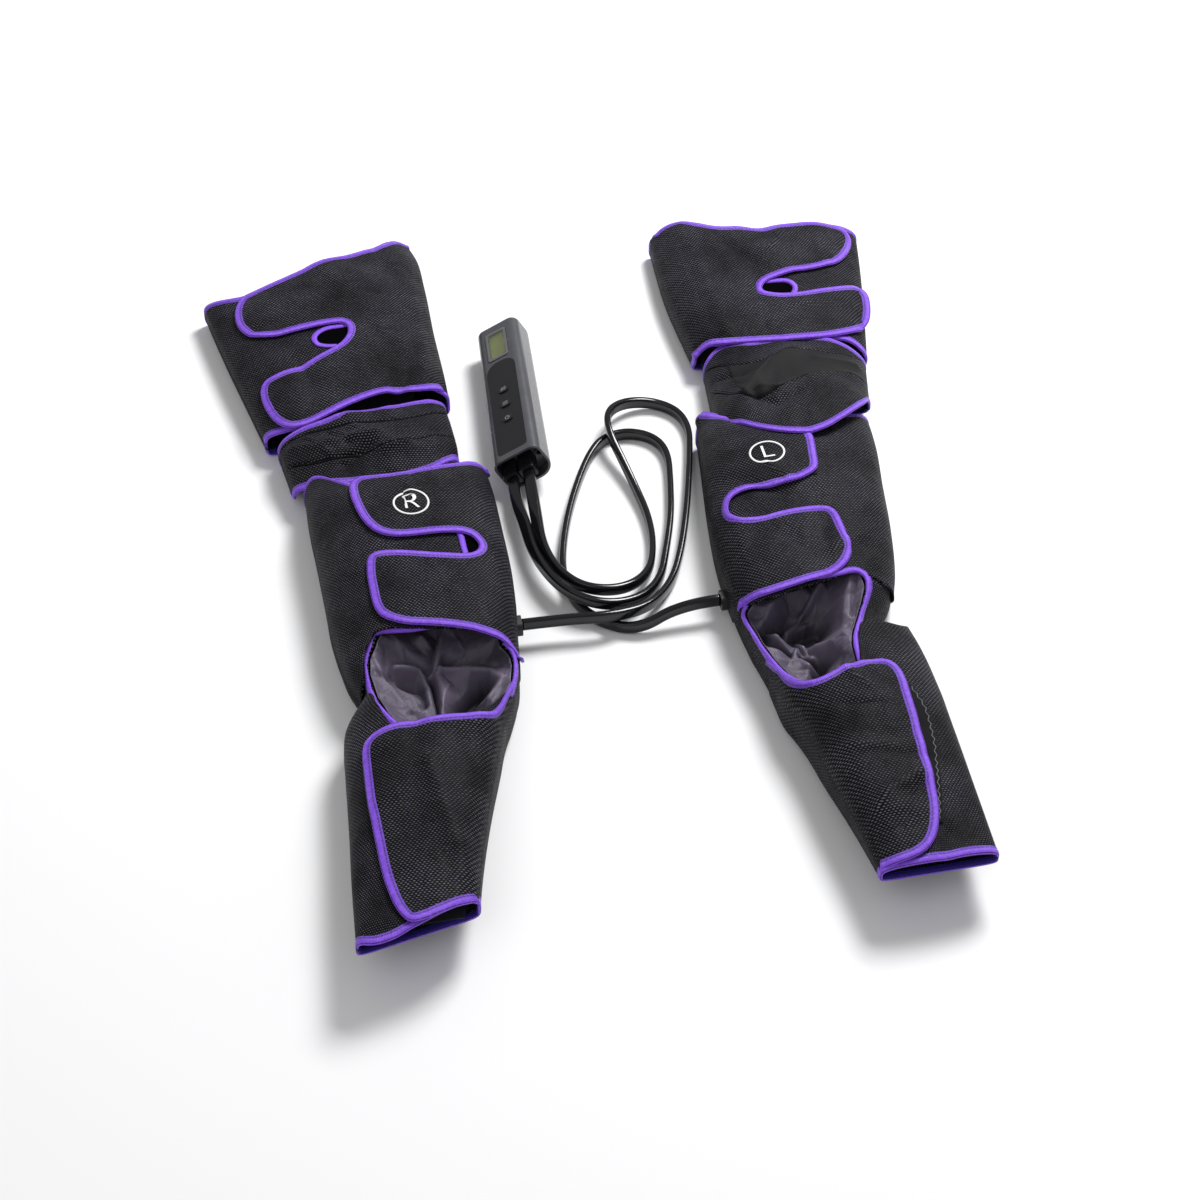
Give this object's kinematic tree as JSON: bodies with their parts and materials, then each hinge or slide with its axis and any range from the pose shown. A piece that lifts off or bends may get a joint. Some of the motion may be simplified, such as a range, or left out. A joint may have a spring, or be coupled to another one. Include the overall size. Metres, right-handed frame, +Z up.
{
  "type": "heated compression leg wrap",
  "caption": "Pair of full-length leg wraps of black mesh with violet binding, closing flaps and open insteps, joined by flat air hoses to a hand controller with a display and push buttons.",
  "frame": {"origin": "on the floor at the middle of the pair as it lies", "axes": "+Y from the toes to the thighs, +X from the right leg to the left leg, +Z up"},
  "size_m": [0.75, 0.988, 0.0781],
  "materials": {
    "mesh_cloth": "coarse black spacer mesh",
    "binding_tape": "violet woven binding tape",
    "lining_cloth": "thin dark violet-grey nylon",
    "bladder_film": "welded air bladder film",
    "heater_cloth": "carbon heating cloth",
    "loop_cloth": "brushed loop cloth",
    "soft_rubber": "satin black rubber",
    "hose_rubber": "glossy black hose",
    "case_plastic": "satin dark grey",
    "panel_plastic": "near black, matte",
    "button_rubber": "near black, matte",
    "bezel_plastic": "silver grey",
    "window_glass": "clear",
    "display_plastic": "olive liquid crystal",
    "board_plastic": "green laminate",
    "pump_metal": "bare metal",
    "valve_plastic": "white"
  },
  "bodies": {
    "wrap": {"air_bladders_left": "bladder_film", "air_bladders_right": "bladder_film", "air_pump": "pump_metal", "ankle_lining_left": "lining_cloth", "ankle_lining_right": "lining_cloth", "back_shell": "case_plastic", "calf_sleeve_left": "mesh_cloth", "calf_sleeve_right": "mesh_cloth", "calf_tape_left": "binding_tape", "calf_tape_right": "binding_tape", "circuit_board": "board_plastic", "display_bezel": "bezel_plastic", "display_module": "display_plastic", "display_window": "window_glass", "foot_sleeve_left": "mesh_cloth", "foot_sleeve_right": "mesh_cloth", "foot_tape_left": "binding_tape", "foot_tape_right": "binding_tape", "front_shell": "case_plastic", "heel_cup_left": "mesh_cloth", "heel_cup_right": "mesh_cloth", "heel_tape_left": "binding_tape", "heel_tape_right": "binding_tape", "hose_entry_left": "soft_rubber", "hose_entry_right": "soft_rubber", "hose_left": "hose_rubber", "hose_plug_left": "soft_rubber", "hose_plug_right": "soft_rubber", "hose_right": "hose_rubber", "key_panel": "panel_plastic", "knee_heater_left": "heater_cloth", "knee_heater_right": "heater_cloth", "knee_sleeve_left": "mesh_cloth", "knee_sleeve_right": "mesh_cloth", "knee_tape_left": "binding_tape", "knee_tape_right": "binding_tape", "loop_patches_left": "loop_cloth", "loop_patches_right": "loop_cloth", "power_inlet": "soft_rubber", "thigh_sleeve_left": "mesh_cloth", "thigh_sleeve_right": "mesh_cloth", "thigh_tape_left": "binding_tape", "thigh_tape_right": "binding_tape", "valve_block": "valve_plastic"},
    "thigh_flap_right": {"thigh_flap_right": "mesh_cloth", "thigh_flap_tape_right": "binding_tape"},
    "calf_flap_right": {"calf_flap_right": "mesh_cloth", "calf_flap_tape_right": "binding_tape"},
    "foot_flap_right": {"foot_flap_right": "mesh_cloth", "foot_flap_tape_right": "binding_tape"},
    "thigh_flap_left": {"thigh_flap_left": "mesh_cloth", "thigh_flap_tape_left": "binding_tape"},
    "calf_flap_left": {"calf_flap_left": "mesh_cloth", "calf_flap_tape_left": "binding_tape"},
    "foot_flap_left": {"foot_flap_left": "mesh_cloth", "foot_flap_tape_left": "binding_tape"},
    "button_power": {"button_power": "button_rubber"},
    "button_mode": {"button_mode": "button_rubber"},
    "button_heat": {"button_heat": "button_rubber"}
  },
  "joints": [
    {"name": "thigh_flap_right_hinge", "type": "hinge", "parent": "wrap", "child": "thigh_flap_right", "pos_m": [-0.149, 0.3595, 0.0514], "axis": [0, 1, 0], "range_deg": [0, 120]},
    {"name": "calf_flap_right_hinge", "type": "hinge", "parent": "wrap", "child": "calf_flap_right", "pos_m": [-0.116, -0.008, 0.0754], "axis": [0, 1, 0], "range_deg": [0, 120]},
    {"name": "foot_flap_right_hinge", "type": "hinge", "parent": "wrap", "child": "foot_flap_right", "pos_m": [-0.1635, -0.37806, 0.0734], "axis": [0.3001, 0.9538, 0.0164], "range_deg": [0, 120]},
    {"name": "thigh_flap_left_hinge", "type": "hinge", "parent": "wrap", "child": "thigh_flap_left", "pos_m": [0.149, 0.3595, 0.0514], "axis": [0, -1, 0], "range_deg": [0, 120]},
    {"name": "calf_flap_left_hinge", "type": "hinge", "parent": "wrap", "child": "calf_flap_left", "pos_m": [0.125, -0.008, 0.0754], "axis": [-0.0646, -0.9979, 0], "range_deg": [0, 120]},
    {"name": "foot_flap_left_hinge", "type": "hinge", "parent": "wrap", "child": "foot_flap_left", "pos_m": [0.1475, -0.37806, 0.0734], "axis": [0.174, -0.9846, -0.017], "range_deg": [0, 120]},
    {"name": "button_power_press", "type": "slide", "parent": "wrap", "child": "button_power", "axis": [0.4993, -0.0262, -0.866], "range_m": [0, 0.001], "stiffness_N_per_m": 300},
    {"name": "button_mode_press", "type": "slide", "parent": "wrap", "child": "button_mode", "axis": [0.4993, -0.0262, -0.866], "range_m": [0, 0.001], "stiffness_N_per_m": 300},
    {"name": "button_heat_press", "type": "slide", "parent": "wrap", "child": "button_heat", "axis": [0.4993, -0.0262, -0.866], "range_m": [0, 0.001], "stiffness_N_per_m": 300}
  ]
}
